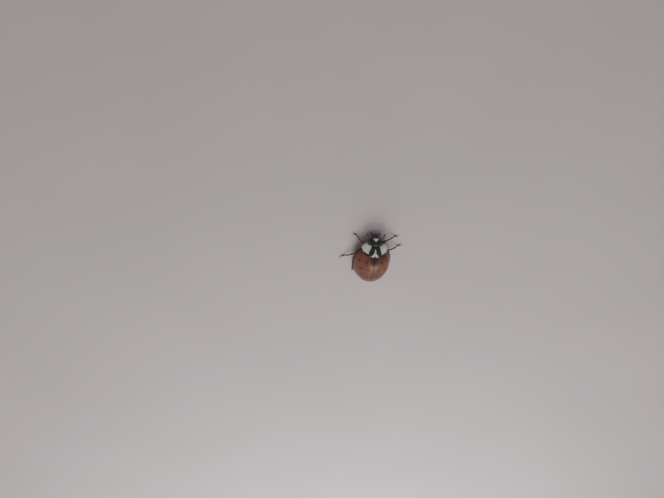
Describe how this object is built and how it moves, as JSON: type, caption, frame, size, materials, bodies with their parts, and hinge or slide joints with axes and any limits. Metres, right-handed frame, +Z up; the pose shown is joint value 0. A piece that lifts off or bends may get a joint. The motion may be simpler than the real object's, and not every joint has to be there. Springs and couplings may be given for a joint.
{
  "type": "ladybird beetle",
  "caption": "Life-size still model of a harlequin ladybird walking on all its feet, with domed wing cases and a pale shield marked in black.",
  "frame": {"origin": "centre of the bounding box, at the level of the soles", "axes": "+X towards the beetle's left along the span of its legs, -Y towards its head, +Z up"},
  "size_m": [0.0086, 0.0078, 0.0032],
  "materials": {
    "wing_case": "glossy orange-brown shell with fine pits",
    "shield": "glossy cream shell with black marks",
    "black_shell": "glossy black shell",
    "eye": "glossy black, faceted",
    "underside": "satin dark brown shell",
    "leg": "satin reddish brown shell with fine hairs"
  },
  "bodies": {
    "root": {"abdomen": "underside", "antenna_left_club": "leg", "antenna_left_stem": "leg", "antenna_right_club": "leg", "antenna_right_stem": "leg", "breast": "black_shell", "chest": "black_shell", "elytron_left": "wing_case", "elytron_right": "wing_case", "eye_left": "eye", "eye_right": "eye", "fore_left_coxa": "black_shell", "fore_left_femur": "leg", "fore_left_tarsus": "leg", "fore_left_tibia": "leg", "fore_right_coxa": "black_shell", "fore_right_femur": "leg", "fore_right_tarsus": "leg", "fore_right_tibia": "leg", "head": "black_shell", "hind_left_coxa": "black_shell", "hind_left_femur": "leg", "hind_left_tarsus": "leg", "hind_left_tibia": "leg", "hind_right_coxa": "black_shell", "hind_right_femur": "leg", "hind_right_tarsus": "leg", "hind_right_tibia": "leg", "mid_left_coxa": "black_shell", "mid_left_femur": "leg", "mid_left_tarsus": "leg", "mid_left_tibia": "leg", "mid_right_coxa": "black_shell", "mid_right_femur": "leg", "mid_right_tarsus": "leg", "mid_right_tibia": "leg", "mouthparts": "black_shell", "palp_left": "leg", "palp_right": "leg", "pronotum": "shield", "scutellum": "black_shell"}
  },
  "joints": []
}
